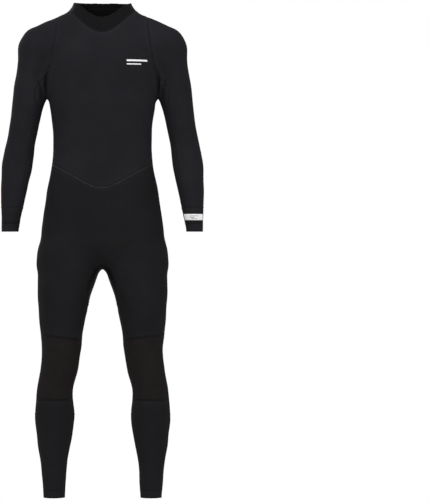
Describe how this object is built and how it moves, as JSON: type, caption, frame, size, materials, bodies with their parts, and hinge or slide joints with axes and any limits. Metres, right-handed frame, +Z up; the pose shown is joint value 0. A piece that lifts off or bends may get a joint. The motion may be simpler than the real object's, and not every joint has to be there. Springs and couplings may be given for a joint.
{
  "type": "full wetsuit",
  "caption": "Full-length black neoprene wetsuit with long sleeves, wrapped collar, back zip with pull leash, knee panels and ankle zips.",
  "frame": {"origin": "the hanging point: on the centre plane inside the neck, at the height where a hanger bears on the inside of the shoulders", "axes": "+Z up towards the collar, -Y towards the wearer's front, +X towards the wearer's left"},
  "size_m": [0.5938, 0.2486, 1.455],
  "materials": {
    "lined_neoprene": "fine black jersey lining on foam rubber",
    "smooth_neoprene": "smooth-skin black foam rubber",
    "knee_neoprene": "matt hard-wearing black knee fabric",
    "zip_teeth": "black moulded plastic",
    "zip_tape": "black woven polyester",
    "zip_metal": "satin corrosion-resistant metal",
    "leash_webbing": "black woven webbing with a plain light pattern",
    "hook_and_loop": "black hook-and-loop tape",
    "label_print": "white heat-transferred film"
  },
  "bodies": {
    "suit": {"front_torso_panel": "lined_neoprene", "left_back_panel": "lined_neoprene", "right_back_panel": "lined_neoprene", "front_leg_panel": "lined_neoprene", "left_seat_leg_panel": "lined_neoprene", "right_seat_leg_panel": "lined_neoprene", "left_knee_panel": "knee_neoprene", "right_knee_panel": "knee_neoprene", "left_shin_panel": "lined_neoprene", "right_shin_panel": "lined_neoprene", "crotch_gusset": "smooth_neoprene", "left_sleeve": "lined_neoprene", "right_sleeve": "lined_neoprene", "left_underarm_panel": "lined_neoprene", "right_underarm_panel": "lined_neoprene", "left_cuff": "smooth_neoprene", "right_cuff": "smooth_neoprene", "wrist_label": "label_print", "collar_band": "smooth_neoprene", "collar_loop_patch": "hook_and_loop", "neck_bib": "smooth_neoprene", "back_zip_teeth_right": "zip_teeth", "back_zip_tape_right": "zip_tape", "back_zip_teeth_left": "zip_teeth", "back_zip_tape_left": "zip_tape", "back_zip_bottom_stop": "zip_metal", "zip_backing_flap": "smooth_neoprene", "left_calf_panel": "lined_neoprene", "right_calf_panel": "lined_neoprene", "left_calf_zip_panel": "lined_neoprene", "right_calf_zip_panel": "lined_neoprene", "left_inner_calf_panel": "lined_neoprene", "right_inner_calf_panel": "lined_neoprene", "left_ankle_zip_flap": "smooth_neoprene", "right_ankle_zip_flap": "smooth_neoprene", "left_ankle_zip_teeth_a": "zip_teeth", "left_ankle_zip_tape_a": "zip_tape", "left_ankle_zip_teeth_b": "zip_teeth", "left_ankle_zip_tape_b": "zip_tape", "left_ankle_zip_bottom_stop": "zip_metal", "right_ankle_zip_teeth_b": "zip_teeth", "right_ankle_zip_tape_b": "zip_tape", "right_ankle_zip_teeth_a": "zip_teeth", "right_ankle_zip_tape_a": "zip_tape", "right_ankle_zip_bottom_stop": "zip_metal"},
    "back_zip_slider_body": {"back_zip_slider": "zip_metal"},
    "back_zip_pull_body": {"back_zip_pull": "zip_metal", "pull_leash": "leash_webbing"},
    "collar_wrap_body": {"collar_wrap": "smooth_neoprene", "collar_hook_patch": "hook_and_loop"},
    "left_ankle_slider_body": {"left_ankle_zip_slider": "zip_metal"},
    "left_ankle_pull_body": {"left_ankle_zip_pull": "zip_metal"},
    "right_ankle_slider_body": {"right_ankle_zip_slider": "zip_metal"},
    "right_ankle_pull_body": {"right_ankle_zip_pull": "zip_metal"}
  },
  "joints": [
    {"name": "back_zip_slide", "type": "slide", "parent": "suit", "child": "back_zip_slider_body", "axis": [0, 0.0289, 0.9996], "range_m": [-0.33, 0]},
    {"name": "back_pull_swing", "type": "hinge", "parent": "back_zip_slider_body", "child": "back_zip_pull_body", "pos_m": [0, 0.09865, -0.00315], "axis": [1, 0, 0], "range_deg": [0, 70]},
    {"name": "collar_wrap_opens", "type": "hinge", "parent": "suit", "child": "collar_wrap_body", "pos_m": [0.05576, 0.08923, 0.085], "axis": [0, 0, -1], "range_deg": [0, 75]},
    {"name": "left_ankle_zip_slide", "type": "slide", "parent": "suit", "child": "left_ankle_slider_body", "axis": [-0.0922, 0.1152, 0.9891], "range_m": [0, 0.135]},
    {"name": "left_ankle_pull_swing", "type": "hinge", "parent": "left_ankle_slider_body", "child": "left_ankle_pull_body", "pos_m": [0.11194, 0.04366, -1.26286], "axis": [0.8191, 0.5735, 0.0096], "range_deg": [0, 70]},
    {"name": "right_ankle_zip_slide", "type": "slide", "parent": "suit", "child": "right_ankle_slider_body", "axis": [0.0922, 0.1152, 0.9891], "range_m": [0, 0.135]},
    {"name": "right_ankle_pull_swing", "type": "hinge", "parent": "right_ankle_slider_body", "child": "right_ankle_pull_body", "pos_m": [-0.11194, 0.04366, -1.26286], "axis": [0.8191, -0.5735, -0.0096], "range_deg": [0, 70]}
  ]
}
